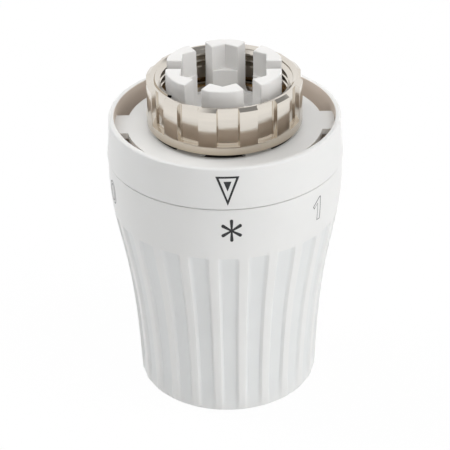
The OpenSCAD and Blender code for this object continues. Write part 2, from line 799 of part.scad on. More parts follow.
module union_nut() {
    rim_w = 0.3;
    foot_bevel = 0.35;
    recess_fit = 0.05;
    groove_floor_r = nut_r - nut_groove_depth;
    sink_r = groove_floor_r - rim_w;
    thread_top_z = nut_top_z - nut_sink_h;
    thread_foot_z = thread_top_z - thread_h;
    color([0.78, 0.74, 0.68])
    difference() {
        translate([0, 0, nut_z]) rotate_extrude() polygon([
            [0, 0], [nut_r - foot_bevel, 0], [nut_r, foot_bevel],
            [nut_r, nut_h - nut_bevel_h], [nut_r - nut_bevel_w, nut_h], [0, nut_h]
        ]);
        for (i = [0 : nut_groove_count - 1])
            sector(groove_floor_r, nut_r + through, nut_z + nut_ring_h, nut_top_z + through,
                360 * i / nut_groove_count - 90 + nut_turn, nut_groove_angle);
        translate([0, 0, nut_z - through]) cylinder(r = lip_bore_r, h = nut_h + 2 * through);
        translate([0, 0, lip_z]) cylinder(r = thread_major_r + recess_fit, h = thread_foot_z - lip_z);
        thread_cut(thread_top_z);
        translate([0, 0, thread_top_z])
            cylinder(r1 = thread_major_r, r2 = sink_r, h = nut_sink_h + eps);
    }
}

module sensor_carrier() {
    lip_r = can_r - can_lip_in;
    groove_z = clip_groove_z + seat_gap;
    color("gainsboro") {
        difference() {
            translate([0, 0, carrier_z]) cylinder(r = carrier_r, h = carrier_h);
            translate([0, 0, carrier_z - through])
                cylinder(r = carrier_bore_r, h = carrier_h - carrier_lip_t + through);
            translate([0, 0, carrier_z]) cylinder(r = lip_r, h = carrier_h + through);
            translate([0, 0, groove_z - seat_gap])
                cylinder(r = carrier_bore_r + clip_groove_depth, h = clip_t + 2 * seat_gap);
        }
        for (i = [0 : lug_count - 1]) rotate([0, 0, 360 * i / lug_count])
            intersection() {
                translate([carrier_r - lug_root, -lug_w / 2, lug_z]) cube([lug_r, lug_w, lug_h]);
                translate([0, 0, lug_z]) cylinder(r = lug_r, h = lug_h);
            }
    }
}

module seat_clip() {
    groove_z = clip_groove_z + seat_gap;
    color("dimgray")
    difference() {
        ring(can_r + free_gap, carrier_bore_r + clip_groove_depth - seat_gap, groove_z, groove_z + clip_t);
        translate([0, -clip_gap_w / 2, groove_z - through])
            cube([carrier_r, clip_gap_w, clip_t + 2 * through]);
    }
}

module spring_seat() {
    color("silver") ring(can_r + free_gap, carrier_bore_r - run_fit, seat_z, over_seat_z);
}

module overtravel_spring() {
    color("lightgray")
        coil(over_mean_r, over_wire, over_seat_z + seat_gap, lid_z - seat_gap, over_turns, 20);
}

module sensor_can() {
    color("goldenrod")
    difference() {
        translate([0, 0, can_z]) rotate_extrude() polygon([
            [0, 0], [can_r - can_edge, 0], [can_r - can_bevel, can_bevel], [can_r, can_edge],
            [can_r, can_top_z - can_z], [0, can_top_z - can_z]
        ]);
        translate([0, 0, can_z + can_wall]) rotate_extrude() polygon([
            [0, 0], [can_r - can_wall - can_inner_edge, 0], [can_r - can_wall, can_inner_edge],
            [can_r - can_wall, can_top_z - can_z], [0, can_top_z - can_z]
        ]);
    }
}

module sensor_lid() {
    color("goldenrod") ring(rod_r + run_fit, lid_r, lid_z, lid_top_z);
}

module charge_stub() {
    color("peru")
        translate([0, 0, can_z - stub_len]) cylinder(r = stub_r, h = stub_len - seat_gap);
}

module bellows() {
    pitch = bellows_h / bellows_folds;
    outer = [
        for (i = [0 : bellows_folds - 1])
            let (z = bellows_z + i * pitch)
            each [[bellows_in_r + bellows_sheet, z], [bellows_r, z + pitch / 2]]
    ];
    inner = [
        for (i = [bellows_folds - 1 : -1 : 0])
            let (z = bellows_z + i * pitch)
            each [[bellows_r - bellows_sheet, z + pitch / 2], [bellows_in_r, z]]
    ];
    color("darkgoldenrod")
    rotate_extrude() polygon(concat(
        outer,
        [[bellows_in_r + bellows_sheet, bellows_top_z], [bellows_in_r, bellows_top_z]],
        inner
    ));
}

module return_spring() {
    color("lightgray")
        coil(return_mean_r, return_wire, foot_top_z + seat_gap, lid_z - seat_gap, return_turns, 14);
}

module bellows_plate() {
    color("darkgoldenrod")
        translate([0, 0, bellows_z - plate_t - seat_gap]) cylinder(r = bellows_r, h = plate_t);
}

module rod_foot() {
    color("silver") translate([0, 0, bellows_z]) cylinder(r = foot_r, h = foot_top_z - bellows_z);
}

module push_rod() {
    color("silver")
        translate([0, 0, foot_top_z + seat_gap]) cylinder(r = rod_r, h = rod_top_z - foot_top_z - seat_gap);
}

module rod_tip() {
    color("dimgray")
    difference() {
        translate([0, 0, rod_tip_z]) rotate_extrude() polygon([
            [0, 0], [tip_r, 0], [tip_r, tip_h - tip_edge], [tip_r - tip_edge, tip_h], [0, tip_h]
        ]);
        translate([0, 0, rod_tip_z - through])
            cylinder(r = rod_r + seat_gap, h = rod_top_z + seat_gap - rod_tip_z + through);
    }
}

handwheel();
end_cap();
drive_sleeve();
snap_ring();
base_collar();
guide_sleeve();
cover_disc();
limit_pins();
claw_adapter();
adapter_clip();
neck_seal();
slip_washer();
union_nut();
sensor_carrier();
spring_seat();
seat_clip();
overtravel_spring();
sensor_can();
sensor_lid();
charge_stub();
bellows();
return_spring();
bellows_plate();
rod_foot();
push_rod();
rod_tip();
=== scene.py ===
"""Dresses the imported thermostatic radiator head: shells, marks, materials, light and camera."""

import math

import bmesh
import bpy
from mathutils import Euler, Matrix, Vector


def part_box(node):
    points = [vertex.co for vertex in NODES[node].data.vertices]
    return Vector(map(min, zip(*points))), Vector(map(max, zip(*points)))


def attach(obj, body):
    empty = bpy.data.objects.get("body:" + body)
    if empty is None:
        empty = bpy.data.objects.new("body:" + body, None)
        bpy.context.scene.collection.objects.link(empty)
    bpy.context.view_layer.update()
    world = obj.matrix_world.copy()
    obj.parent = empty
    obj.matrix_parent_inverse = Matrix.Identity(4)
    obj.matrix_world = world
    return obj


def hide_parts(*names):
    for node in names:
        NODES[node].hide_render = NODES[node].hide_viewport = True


bl_info = {
    "name": "Thermostatic Radiator Head",
    "version": (1, 0, 0),
    "blender": (4, 5, 0),
    "location": "View3D > Sidebar > Radiator Head",
    "description": "Builds the dressed radiator head over its packed frame",
    "category": "Object",
}

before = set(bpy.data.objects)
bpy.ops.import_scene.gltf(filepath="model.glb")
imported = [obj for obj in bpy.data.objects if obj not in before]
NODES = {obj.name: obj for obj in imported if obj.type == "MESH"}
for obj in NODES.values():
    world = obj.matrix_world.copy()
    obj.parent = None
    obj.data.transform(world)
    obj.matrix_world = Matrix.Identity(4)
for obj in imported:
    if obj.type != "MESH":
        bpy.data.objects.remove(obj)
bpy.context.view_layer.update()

MM = 0.001


def high(node, axis=2):
    """The highest coordinate of a CAD node along an axis, in millimetres."""
    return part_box(node)[1][axis] / MM


def low(node, axis=2):
    """The lowest coordinate of a CAD node along an axis, in millimetres."""
    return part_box(node)[0][axis] / MM


WHEEL_H = high("handwheel")
SEAM_Z = WHEEL_H + 0.25
RIM_Z = high("base_collar")
SKIRT_Z = low("base_collar") + 1.6
DISC_Z = high("cover_disc") - 0.8
NUT_Z = low("union_nut")
NUT_TOP = high("union_nut")
TIP_Z = high("claw_adapter")
FLANGE_Z = SEAM_Z + 3.33

# Control points of the handwheel's outline, radius and height
WHEEL_CURVE = ((21.1, 0.0), (22.1, 36.6), (25.8, 36.6), (26.5, 52.8))
WALL = 2.2

# Flutes: their top, the angles of their spacing, half width and wall, the hollow of their floor,
# the share of their depth at the foot, and where and over what height it grows to the whole
FLUTE_TOP = WHEEL_H - 12.8
FLUTE_PITCH, FLUTE_HALF, FLUTE_WALL = 15.0, 5.6, 1.9
FLUTE_DISH = 0.1
FOOT_SHARE, FADE_Z, FADE_RISE = 0.35, 0.3, 5.5

# Collar: bore of its rim, and its outline, radius and height above the seam
COLLAR_BORE = 24.75
COLLAR_CURVE = (
    (26.3, 0), (26.56, 0.02), (26.64, 0.1), (26.66, 0.3), (26.45, 2.2), (26.24, 4.6), (26.09, 7.0),
)

# Outer radius of the nut, and how far nut, claws and tongues are turned, in degrees
NUT_R = 17.4
NUT_TURN = 1.6
CLAW_TURN = -2.6
TONGUE_TURN = -2.0

# Thread: its pitch, how many turns it has, and the corners of its tooth, radius and height
THREAD_PITCH, THREAD_TURNS = 1.5, 2.6
TOOTH = ((15.3, -0.74), (14.19, -0.16), (14.19, 0.16), (15.3, 0.74))

# Tongues under the nut: width and angle of each pair
TONGUES = ((6.3, 62), (6.3, 118), (10.0, 0))

# Marks are drawn on a plane in front of the head, this many metres from its axis
MARK_Y = -0.03
# Pointer: its height, its outline's outer and inner corners, and the small one in it
POINTER_Z = 62.7
POINTER_OUTER = ((-2.55, 3.4), (2.55, 3.4), (0, -3.4))
POINTER_INNER = ((-1.85, 2.95), (1.85, 2.95), (0, -2.2))
POINTER_SMALL = ((-0.85, 2.2), (0.85, 2.2), (0, -0.1))
# Frost mark: height, angle, length of an arm, radius of its end and breadth of the whole
STAR_Z, STAR_TURN, ARM_LENGTH, ARM_END, STAR_BREADTH = 52.95, 1.6, 2.42, 0.42, 0.88
# Numbers: foot, size, half width of the line, and each one's angle from the front; the lines are
# painted shade, drawn round the edges of moulded digits
NUMBER_Z, NUMBER_SIZE, NUMBER_LINE = 49.6, 8.0, 0.11
NUMBERS = (("0", -73.3), ("1", 49.3), ("2", 97.6), ("3", 145.6), ("4", 193.6), ("5", 241.6))
# The one has an outline, a foot and a line of its own
ONE_Z, ONE_LINE = 49.8, 0.14
ONE = ((0.5, 0), (0.5, 5.7), (0.15, 5.7), (-1.85, 3.9), (-1.6, 3.3), (-0.45, 4.3), (-0.45, 0))


# ---------------------------------------------------------------- properties

class HeadSizes(bpy.types.PropertyGroup):
    """Sizes a user would change, in millimetres."""
    flute_depth: bpy.props.FloatProperty(
        name="Flute depth", description="How deep the flutes are cut",
        default=0.58, min=0.3, max=0.8)
    flute_round: bpy.props.FloatProperty(
        name="Flute rounding", description="Rounding of the flutes' edges",
        default=0.16, min=0.05, max=0.3)
    groove_depth: bpy.props.FloatProperty(
        name="Nut groove depth", description="How deep the nut's grip grooves are",
        default=0.98, min=0.6, max=1.1)
    edge_round: bpy.props.FloatProperty(
        name="Claw rounding", description="Rounding of the claws' edges",
        default=0.28, min=0.05, max=0.4)
    mark_height: bpy.props.FloatProperty(
        name="Mark thickness", description="Thickness of the printed marks",
        default=0.03, min=0.01, max=0.1)


class HeadColours(bpy.types.PropertyGroup):
    """Colours a user would change."""
    plastic: bpy.props.FloatVectorProperty(
        name="Plastic", description="Colour of the white mouldings", subtype="COLOR",
        default=(0.76, 0.76, 0.75), min=0, max=1)
    claws: bpy.props.FloatVectorProperty(
        name="Claws", description="Colour of the claw crown", subtype="COLOR",
        default=(0.78, 0.77, 0.755), min=0, max=1)
    nickel: bpy.props.FloatVectorProperty(
        name="Nickel", description="Colour of the plated nut", subtype="COLOR",
        default=(0.725, 0.68, 0.615), min=0, max=1)
    print_dark: bpy.props.FloatVectorProperty(
        name="Dark print", description="Colour of the pointer and the frost mark", subtype="COLOR",
        default=(0.022, 0.022, 0.024), min=0, max=1)
    # painted shade: the numbers are grey outlines standing for the shaded edges of moulded digits
    digit_edge_shade: bpy.props.FloatVectorProperty(
        name="Digit edge shade", description="Colour of the numbers", subtype="COLOR",
        default=(0.1, 0.1, 0.105), min=0, max=1)


def sizes():
    """The sizes that the panel shows."""
    return bpy.context.scene.head_sizes


def colours():
    """The colours that the panel shows."""
    return bpy.context.scene.head_colours


# ---------------------------------------------------------------- modelling

def deselect():
    """Leaves edit mode with nothing selected."""
    if bpy.context.mode != "OBJECT":
        bpy.ops.object.mode_set(mode="OBJECT")
    bpy.ops.object.select_all(action="DESELECT")


def activate(ob):
    """Selects one object alone and makes it the active one."""
    deselect()
    ob.select_set(True)
    bpy.context.view_layer.objects.active = ob


def new_piece(name):
    """Names the primitive that was just added and puts its place into its mesh."""
    ob = bpy.context.active_object
    ob.name = name
    ob.data.name = name
    bpy.ops.object.transform_apply(location=True, rotation=True, scale=True)
    return ob


def lathe(name, profile, segments):
    """A closed ring with that section: a circle extruded from point to point of the profile."""
    deselect()
    r, z = profile[0]
    bpy.ops.mesh.primitive_circle_add(vertices=segments, radius=r * MM, location=(0, 0, z * MM))
    ob = new_piece(name)
    bpy.ops.object.mode_set(mode="EDIT")
    bpy.ops.mesh.select_all(action="SELECT")
    for r_next, z_next in profile[1:]:
        rise = {"value": (0, 0, (z_next - z) * MM)}
        bpy.ops.mesh.extrude_region_move(TRANSFORM_OT_translate=rise)
        grow = r_next / r
        bpy.ops.transform.resize(value=(grow, grow, 1), center_override=(0, 0, z_next * MM))
        r, z = r_next, z_next
    return ob


def pick(ob, wanted):
    """Selects the vertices of the edited mesh whose index is wanted."""
    bm = bmesh.from_edit_mesh(ob.data)
    for v in bm.verts:
        v.select_set(v.index in wanted)
    bm.select_flush_mode()
    bmesh.update_edit_mesh(ob.data)


def carve(ob, profile, segments, columns, low_z, floor_of):
    """Moves the chosen columns of a lathe inwards, row by row.

    floor_of(radius, height, column) gives the new radius.
    """
    for row, (r, z) in enumerate(profile):
        if z < low_z[0] or z > low_z[1]:
            continue
        groups = {}
        for column in columns:
            target = floor_of(r, z, column)
            if target < r - 1e-6:
                groups.setdefault(round(target, 5), set()).add(row * segments + column)
        for target, wanted in groups.items():
            pick(ob, wanted)
            grow = target / r
            bpy.ops.transform.resize(value=(grow, grow, 1), center_override=(0, 0, z * MM))


def close_lathe(ob, angle=35):
    """Joins the last ring to the first, and shades the mesh."""
    bpy.ops.mesh.select_all(action="SELECT")
    bpy.ops.mesh.remove_doubles(threshold=1e-6)
    bpy.ops.mesh.normals_make_consistent(inside=False)
    bpy.ops.object.mode_set(mode="OBJECT")
    smooth(ob, angle)


def smooth(ob, angle=35):
    """Shades a mesh smooth, with sharp edges above an angle."""
    activate(ob)
    bpy.ops.object.shade_smooth_by_angle(angle=math.radians(angle))


def box(name, lows, highs, angle=0.0):
    """A box between two corners in millimetres, turned about the axis of the head."""
    deselect()
    middle = [(a + b) / 2 * MM for a, b in zip(lows, highs)]
    bpy.ops.mesh.primitive_cube_add(size=1, location=middle)
    ob = bpy.context.active_object
    ob.scale = [(b - a) * MM for a, b in zip(lows, highs)]
    new_piece(name)
    turn(ob, angle)
    return ob


def rod(name, r, low_z, high_z, sides):
    """A cylinder on the axis of the head, between two heights in millimetres."""
    deselect()
    bpy.ops.mesh.primitive_cylinder_add(
        vertices=sides, radius=r * MM, depth=(high_z - low_z) * MM,
        location=(0, 0, (high_z + low_z) / 2 * MM))
    return new_piece(name)


def lay_along_x(ob, start):
    """Lays a rod that stands on the origin along X, with that end at a point in millimetres."""
    activate(ob)
    ob.rotation_euler = (0, math.radians(90), 0)
    bpy.ops.object.transform_apply(location=False, rotation=True, scale=False)
    ob.location = [c * MM for c in start]
    bpy.ops.object.transform_apply(location=True, rotation=False, scale=False)
    return ob


def around(ob, count):
    """Copies a piece round the axis, each copy with its own mesh, and joins them into one."""
    step = 360 / count
    copies = [ob]
    for i in range(1, count):
        twin = ob.copy()
        twin.data = ob.data.copy()
        bpy.context.collection.objects.link(twin)
        twin.rotation_euler = (0, 0, math.radians(step * i))
        copies.append(twin)
    ob.rotation_euler = (0, 0, 0)
    deselect()
    for c in copies:
        c.select_set(True)
    bpy.context.view_layer.objects.active = ob
    bpy.ops.object.transform_apply(location=False, rotation=True, scale=False)
    bpy.ops.object.join()
    return ob


def turn(ob, angle):
    """Turns a piece about the axis of the head, in its mesh."""
    activate(ob)
    ob.rotation_euler = (0, 0, math.radians(angle))
    bpy.ops.object.transform_apply(location=False, rotation=True, scale=False)


def join(target, others):
    """Joins pieces into the target."""
    deselect()
    for o in others:
        o.select_set(True)
    target.select_set(True)
    bpy.context.view_layer.objects.active = target
    bpy.ops.object.join()
    return target


def apply_modifier(ob, kind, **values):
    """Adds a modifier with those values and applies it."""
    activate(ob)
    m = ob.modifiers.new(kind.lower(), kind)
    for key, value in values.items():
        setattr(m, key, value)
    bpy.ops.object.modifier_apply(modifier=m.name)


def cut(ob, tool, operation="DIFFERENCE"):
    """Applies a boolean and deletes the tool."""
    apply_modifier(ob, "BOOLEAN", object=tool, operation=operation, solver="EXACT")
    bpy.data.objects.remove(tool, do_unlink=True)


def soften(ob, width, segments=2, limit=40, angle=35):
    """Rounds the sharp edges and shades the mesh, with the flat faces kept flat."""
    apply_modifier(ob, "BEVEL", width=width * MM, segments=segments, limit_method="ANGLE",
                   angle_limit=math.radians(limit), harden_normals=False)
    smooth(ob, angle)
    apply_modifier(ob, "WEIGHTED_NORMAL", keep_sharp=True, weight=50)


def round_edges(ob, width, wanted, bend=28, segments=2):
    """Bevels the edges that bend more than an angle and whose two ends are wanted."""
    activate(ob)
    bpy.ops.object.mode_set(mode="EDIT")
    bpy.ops.mesh.select_mode(type="EDGE")
    bm = bmesh.from_edit_mesh(ob.data)
    for e in bm.edges:
        sharp = len(e.link_faces) == 2 and e.calc_face_angle(0) > math.radians(bend)
        e.select_set(sharp and wanted(*(v.co / MM for v in e.verts)))
    bmesh.update_edit_mesh(ob.data)
    bpy.ops.mesh.bevel(offset=width * MM, segments=segments, affect="EDGES", clamp_overlap=False)
    bpy.ops.mesh.select_mode(type="VERT")
    bpy.ops.object.mode_set(mode="OBJECT")


def finish(ob, body, material, slot, *replaced):
    """Gives a piece its material and its body, and hides the CAD nodes that it stands for. The slot
    is not used.
    """
    ob.data.materials.clear()
    ob.data.materials.append(material)
    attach(ob, body)
    if replaced:
        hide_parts(*replaced)


def arc(cx, cz, r, start, end, steps):
    """Points of a rounded corner in the profile plane."""
    out = []
    for i in range(steps + 1):
        a = math.radians(start + (end - start) * i / steps)
        out.append((cx + r * math.cos(a), cz + r * math.sin(a)))
    return out


def bezier(t):
    """Radius and height of the handwheel's outline at t."""
    weights = ((1 - t) ** 3, 3 * t * (1 - t) ** 2, 3 * t * t * (1 - t), t ** 3)
    return tuple(sum(w * p[i] for w, p in zip(weights, WHEEL_CURVE)) for i in (0, 1))


def wheel_r(z):
    """Outer radius of the handwheel at a height."""
    if z >= WHEEL_CURVE[3][1]:
        return WHEEL_CURVE[3][0]
    a, b = 0.0, 1.0
    for _ in range(40):
        m = (a + b) / 2
        a, b = (m, b) if bezier(m)[1] < z else (a, m)
    return bezier(a)[0]


def ease(t):
    """A smooth step from 0 to 1."""
    t = min(1, max(0, t))
    return t * t * (3 - 2 * t)


def flute_fade(z):
    """Share of the flutes' depth at a height: they run out shallow towards the foot."""
    return FOOT_SHARE + (1 - FOOT_SHARE) * ease((z - FADE_Z) / FADE_RISE)


def column_angles(ob, segments):
    """Angle of each lathe column from the front, in degrees, positive to the right."""
    ob.update_from_editmode()
    return [math.degrees(math.atan2(v.co.x, -v.co.y)) for v in ob.data.vertices[:segments]]


def pitch_place(angle, pitch):
    """How far an angle lies from the middle of the nearest repeat."""
    return abs((angle + pitch / 2) % pitch - pitch / 2)


# ---------------------------------------------------------------- materials

# Where most of a noise texture's values lie
NOISE_SPAN = (0.3, 0.7)
# Depth of the fine relief and of the light's way into the plastic, in metres
RELIEF_DEPTH, LIGHT_DEPTH = 0.00005, 0.0008


def grain_group():
    """Shared effect: a faint tint and a fine height from noise in the piece's own coordinates."""
    name = "moulded_grain"
    if name in bpy.data.node_groups:
        return bpy.data.node_groups[name]
    g = bpy.data.node_groups.new(name, "ShaderNodeTree")
    g.interface.new_socket("Vector", in_out="INPUT", socket_type="NodeSocketVector")
    g.interface.new_socket("Fine scale", in_out="INPUT", socket_type="NodeSocketFloat")
    g.interface.new_socket("Broad scale", in_out="INPUT", socket_type="NodeSocketFloat")
    g.interface.new_socket("Tint", in_out="OUTPUT", socket_type="NodeSocketFloat")
    g.interface.new_socket("Height", in_out="OUTPUT", socket_type="NodeSocketFloat")
    n, l = g.nodes, g.links
    i, o = n.new("NodeGroupInput"), n.new("NodeGroupOutput")
    fine, broad = n.new("ShaderNodeTexNoise"), n.new("ShaderNodeTexNoise")
    fine.inputs["Detail"].default_value = 3
    broad.inputs["Detail"].default_value = 2
    l.new(i.outputs["Vector"], fine.inputs["Vector"])
    l.new(i.outputs["Vector"], broad.inputs["Vector"])
    l.new(i.outputs["Fine scale"], fine.inputs["Scale"])
    l.new(i.outputs["Broad scale"], broad.inputs["Scale"])
    l.new(broad.outputs["Fac"], o.inputs["Tint"])
    l.new(fine.outputs["Fac"], o.inputs["Height"])
    return g


def ramp_node(n, l, value, low_in, high_in, low_out=0.0, high_out=1.0):
    """Maps a socket's value from one range to another and gives the result's socket."""
    ramp = n.new("ShaderNodeMapRange")
    ramp.inputs["From Min"].default_value = low_in
    ramp.inputs["From Max"].default_value = high_in
    ramp.inputs["To Min"].default_value = low_out
    ramp.inputs["To Max"].default_value = high_out
    l.new(value, ramp.inputs["Value"])
    return ramp.outputs["Result"]


def material(name, colour, rough, metallic=0.0, fine=2500.0, broad=90.0, tint=0.03,
             rough_swing=0.06, bump=0.05, stretch=(1, 1, 1), specular=0.5, subsurface=0.0):
    """A Principled material whose colour, roughness and bump vary with the shared grain."""
    if name in bpy.data.materials:
        return bpy.data.materials[name]
    m = bpy.data.materials.new(name)
    m.use_nodes = True
    n, l = m.node_tree.nodes, m.node_tree.links
    shader = n["Principled BSDF"]
    shader.inputs["Metallic"].default_value = metallic
    shader.inputs["Specular IOR Level"].default_value = specular
    if subsurface:
        shader.inputs["Subsurface Weight"].default_value = subsurface
        shader.inputs["Subsurface Radius"].default_value = (1.0, 0.9, 0.8)
        shader.inputs["Subsurface Scale"].default_value = LIGHT_DEPTH
    place, scale = n.new("ShaderNodeTexCoord"), n.new("ShaderNodeMapping")
    grain = n.new("ShaderNodeGroup")
    scale.inputs["Scale"].default_value = stretch
    grain.node_tree = grain_group()
    grain.inputs["Fine scale"].default_value = fine
    grain.inputs["Broad scale"].default_value = broad
    l.new(place.outputs["Object"], scale.inputs["Vector"])
    l.new(scale.outputs["Vector"], grain.inputs["Vector"])
    shade = ramp_node(n, l, grain.outputs["Tint"], *NOISE_SPAN, 1 - tint, 1 + tint)
    mix = n.new("ShaderNodeVectorMath")
    mix.operation = "SCALE"
    mix.inputs[0].default_value = tuple(colour)[:3]
    l.new(shade, mix.inputs["Scale"])
    l.new(mix.outputs["Vector"], shader.inputs["Base Color"])
    gloss = ramp_node(n, l, grain.outputs["Height"], *NOISE_SPAN,
                      rough - rough_swing, rough + rough_swing)
    l.new(gloss, shader.inputs["Roughness"])
    relief = n.new("ShaderNodeBump")
    relief.inputs["Strength"].default_value = bump
    relief.inputs["Distance"].default_value = RELIEF_DEPTH
    l.new(grain.outputs["Height"], relief.inputs["Height"])
    l.new(relief.outputs["Normal"], shader.inputs["Normal"])
    return m


def tint_where(m, factor, colour):
    """Multiplies a material's colour by another one, by the value of the factor's socket."""
    n, l = m.node_tree.nodes, m.node_tree.links
    shader = n["Principled BSDF"]
    base = shader.inputs["Base Color"].links[0].from_socket
    mix = n.new("ShaderNodeMix")
    mix.data_type, mix.blend_type = "RGBA", "MULTIPLY"
    mix.inputs["B"].default_value = (*colour, 1)
    l.new(factor, mix.inputs["Factor"])
    l.new(base, mix.inputs["A"])
    l.new(mix.outputs["Result"], shader.inputs["Base Color"])
    return m


def plastic(name="white_moulding"):
    return material(name, colours().plastic, 0.38, bump=0.06, tint=0.012, subsurface=0.1)


def wheel_plastic_flute_shade():
    """The white plastic, with painted shade: cooler and a little darker on the floors of the
    flutes.
    """
    m = plastic("wheel_moulding_flute_shade")
    depth = m.node_tree.nodes.new("ShaderNodeAttribute")
    depth.attribute_name = "flute"
    # painted shade: the flute floors are darkened and cooled by their depth
    return tint_where(m, depth.outputs["Fac"], (0.952, 0.966, 0.976))


def collar_plastic_wall_shade():
    """The white plastic, darker and warmer on the collar's inner wall: painted shade, and painted
    warm light reflected from the nut.
    """
    m = plastic("collar_moulding_wall_shade")
    n, l = m.node_tree.nodes, m.node_tree.links
    place, flat = n.new("ShaderNodeTexCoord"), n.new("ShaderNodeVectorMath")
    reach = n.new("ShaderNodeVectorMath")
    flat.operation, reach.operation = "MULTIPLY", "LENGTH"
    flat.inputs[1].default_value = (1, 1, 0)
    l.new(place.outputs["Object"], flat.inputs[0])
    l.new(flat.outputs["Vector"], reach.inputs[0])
    # painted shade and reflection: the inner wall, inside the bore's radius, is tinted darker and
    # warmer
    inside = ramp_node(n, l, reach.outputs["Value"],
                       (COLLAR_BORE + 0.15) * MM, (COLLAR_BORE + 0.03) * MM)
    return tint_where(m, inside, (0.9, 0.79, 0.7))


def claw_plastic():
    return material("claw_moulding", colours().claws, 0.45, bump=0.08, tint=0.02, fine=3200,
                    subsurface=0.1)


def inner_plastic():
    return material("grey_moulding", (0.47, 0.48, 0.5), 0.5, bump=0.1, tint=0.04)


def nickel():
    return material("nickel_plate", colours().nickel, 0.12, metallic=1.0, fine=900, broad=140,
                    tint=0.04, rough_swing=0.05, bump=0.1, stretch=(0.3, 0.3, 3))


def nut_foot_shade(m):
    """Painted shade and reflection: the plain ring round the nut's foot is made darker and browner.
    """
    n, l = m.node_tree.nodes, m.node_tree.links
    place, split = n.new("ShaderNodeTexCoord"), n.new("ShaderNodeSeparateXYZ")
    l.new(place.outputs["Object"], split.inputs[0])
    # painted shade and reflection: darker and browner from the foot up to 3.2 mm above it
    foot = ramp_node(n, l, split.outputs["Z"], (NUT_Z + 3.2) * MM, (NUT_Z + 0.4) * MM)
    return tint_where(m, foot, (0.72, 0.66, 0.58))


def steel():
    return material("spring_steel", (0.42, 0.42, 0.43), 0.3, metallic=1.0, fine=2200, tint=0.05,
                    bump=0.1)


# ink for the printed pointer and frost mark, and for the painted shade lines of the numbers
def print_and_shade_ink(name, colour):
    return material(name, colour, 0.5, bump=0.1, tint=0.1, fine=6000, specular=0.4)


# ---------------------------------------------------------------- pieces

class HEAD_OT_handwheel(bpy.types.Operator):
    """Fluted shell of the handwheel, with its seat ring and ledge"""
    bl_idname = "head.handwheel"
    bl_label = "Handwheel"

    def execute(self, context):
        s = sizes()
        segments = 480
        foot_r, round_r = WHEEL_CURVE[0][0], 0.6
        outer = arc(foot_r - round_r, round_r, round_r, -90, 0, 4)
        rise = [2.5 + 2.6 * i for i in range(17)]
        rise = [z for z in rise if z < FLUTE_TOP - 1.2] + [FLUTE_TOP - 0.45, FLUTE_TOP]
        rise += [FLUTE_TOP + 1.2, FLUTE_TOP + 3.2, 50.6, 52.8, 55.5, WHEEL_H - 0.15]
        outer += [(wheel_r(z), z) for z in rise]
        mouth = wheel_r(WHEEL_H)
        outer += [(mouth - 0.02, WHEEL_H - 0.04), (mouth - 0.08, WHEEL_H)]
        bore, wall_top = 23.98, SKIRT_Z - 0.6
        seat_r, seat_z, seat_foot = 16.68, 18.5, 17.0
        cap_r, cap_z, ledge, ledge_z = 19.45, 1.8, 0.5, 3.8
        inner = [(bore + 0.2, WHEEL_H), (bore, WHEEL_H - 0.2), (bore, wall_top)]
        inner += [(wheel_r(z) - WALL, z) for z in (wall_top, 47, 43, 39, 35, 31, 27, 23, seat_z)]
        inner += [(seat_r, seat_z), (seat_r, seat_foot), (wheel_r(seat_foot) - WALL, seat_foot)]
        inner += [(wheel_r(z) - WALL, z) for z in (13, 9, 5)]
        inner += [(cap_r - ledge, ledge_z), (cap_r - ledge, cap_z), (cap_r, cap_z), (cap_r, 0)]
        inner.append((foot_r - round_r, 0))
        profile = outer + inner
        ob = lathe("handwheel_shell", profile, segments)
        angles = column_angles(ob, segments)
        columns = [c for c, a in enumerate(angles) if pitch_place(a, FLUTE_PITCH) < FLUTE_HALF]

        def flute_floor(r, z, column):
            if r < foot_r - s.flute_depth:
                return r
            place = pitch_place(angles[column], FLUTE_PITCH)
            wall = ease((FLUTE_HALF - place) / FLUTE_WALL)
            dish = FLUTE_DISH * math.cos(math.radians(90 * place / FLUTE_HALF))
            return min(r, wheel_r(z) - (s.flute_depth + dish) * wall * flute_fade(z))

        carve(ob, profile[:len(outer)], segments, columns, (0.01, FLUTE_TOP - 0.3), flute_floor)
        close_lathe(ob)
        # rounding of the level edges at the flutes' top ends
        bpy.ops.object.mode_set(mode="EDIT")
        bm = bmesh.from_edit_mesh(ob.data)
        shell_r, sharp = 20.3 * MM, math.radians(24)
        top = (FLUTE_TOP + 0.02) * MM
        for e in bm.edges:
            a, b = (v.co for v in e.verts)
            level = abs(a.z - b.z) < 0.01 * MM and abs(a.z - FLUTE_TOP * MM) < 0.5 * MM
            out = min(math.hypot(a.x, a.y), math.hypot(b.x, b.y)) > shell_r
            bend = len(e.link_faces) == 2 and e.calc_face_angle(0) > sharp
            e.select_set(out and a.z < top and b.z < top and bend and level)
        bmesh.update_edit_mesh(ob.data)
        bpy.ops.mesh.bevel(offset=s.flute_round * MM, segments=2, affect="EDGES",
                           clamp_overlap=True)
        bpy.ops.object.mode_set(mode="OBJECT")
        smooth(ob, 50)
        # how deep each point lies in a flute, which sets the painted shade of the flute floors in
        # the material
        depth = ob.data.attributes.new("flute", "FLOAT", "POINT")
        for v, d in zip(ob.data.vertices, depth.data):
            r, z = math.hypot(v.co.x, v.co.y) / MM, v.co.z / MM
            if 0.5 < z < FLUTE_TOP and r > wheel_r(z) - 1.2:
                d.value = min(1, max(0, wheel_r(z) - r) / s.flute_depth)
        finish(ob, "wheel", wheel_plastic_flute_shade(), "white_plastic", "handwheel")
        return {"FINISHED"}


